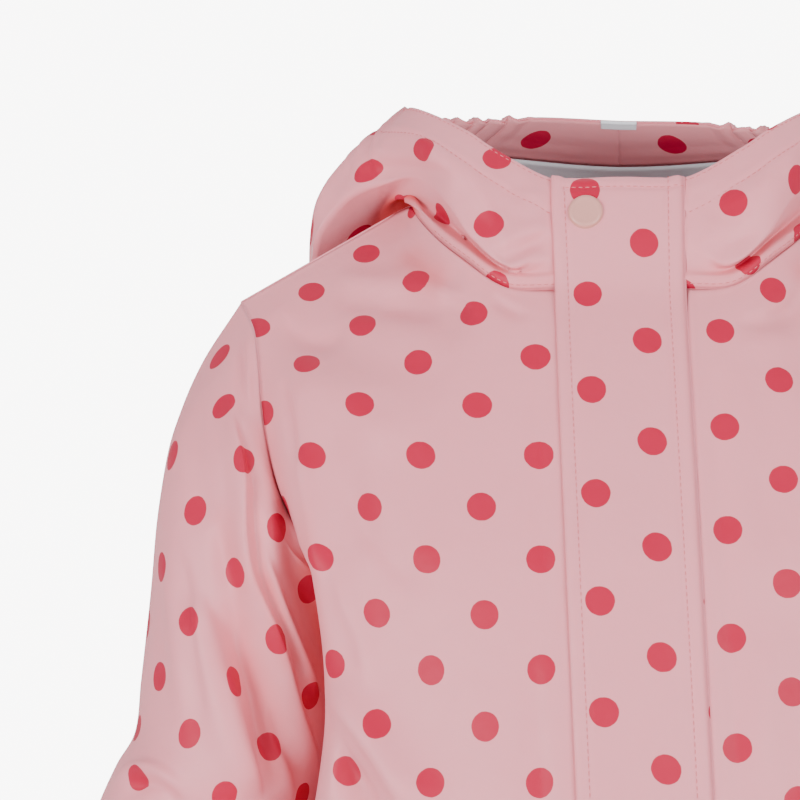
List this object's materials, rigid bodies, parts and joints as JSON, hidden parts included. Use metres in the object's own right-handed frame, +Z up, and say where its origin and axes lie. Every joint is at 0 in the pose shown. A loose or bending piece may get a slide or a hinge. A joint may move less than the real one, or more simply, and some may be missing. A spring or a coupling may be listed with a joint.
{
  "type": "toddler raincoat",
  "caption": "Hooded raincoat for a toddler, filled out as worn, with the hood down, long sleeves, a covered front opening and a flared hem.",
  "frame": {"origin": "middle of the neck at the height of the shoulder seams' inner ends, where the wearer's shoulders hold the coat up", "axes": "+Z up, -Y the way the coat's front faces, +X towards the wearer's left sleeve"},
  "size_m": [0.536, 0.2695, 0.5172],
  "materials": {
    "shell": "matt pink coated cloth with evenly spaced round coral dots",
    "facing": "the same dotted coated cloth, inside the hood's edge",
    "lining": "plain light grey lining cloth",
    "tab": "plain white woven tape",
    "snap": "satin dusty pink snap cap"
  },
  "bodies": {
    "root": {"front_right": "shell", "front_left": "shell", "back": "shell", "sleeve_right": "shell", "sleeve_left": "shell", "hood_right": "shell", "hood_left": "shell", "hood_facing_right": "facing", "hood_facing_left": "facing", "hood_lining": "lining", "storm_flap": "shell", "back_tab": "tab", "snap_cap": "snap"}
  },
  "joints": []
}
